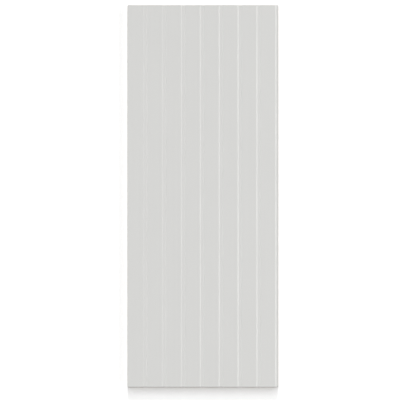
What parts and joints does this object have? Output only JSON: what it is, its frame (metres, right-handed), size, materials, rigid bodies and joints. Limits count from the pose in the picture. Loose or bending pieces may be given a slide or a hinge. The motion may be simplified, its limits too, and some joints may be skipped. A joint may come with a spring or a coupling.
{
  "type": "wall tile",
  "caption": "Tall glazed ceramic wall tile with a face of narrow upright planks parted by shallow grooves, and a ribbed back for adhesive.",
  "frame": {"origin": "centre of the back, on the plane of the rib crests that the tile rests on", "axes": "+Z out of the glazed face, +Y up the wall along the planks, +X to the right as seen from the front"},
  "size_m": [0.1976, 0.5, 0.009],
  "materials": {
    "glazed_ceramic": "satin"
  },
  "bodies": {
    "root": {"wall_tile": "glazed_ceramic"}
  },
  "joints": []
}
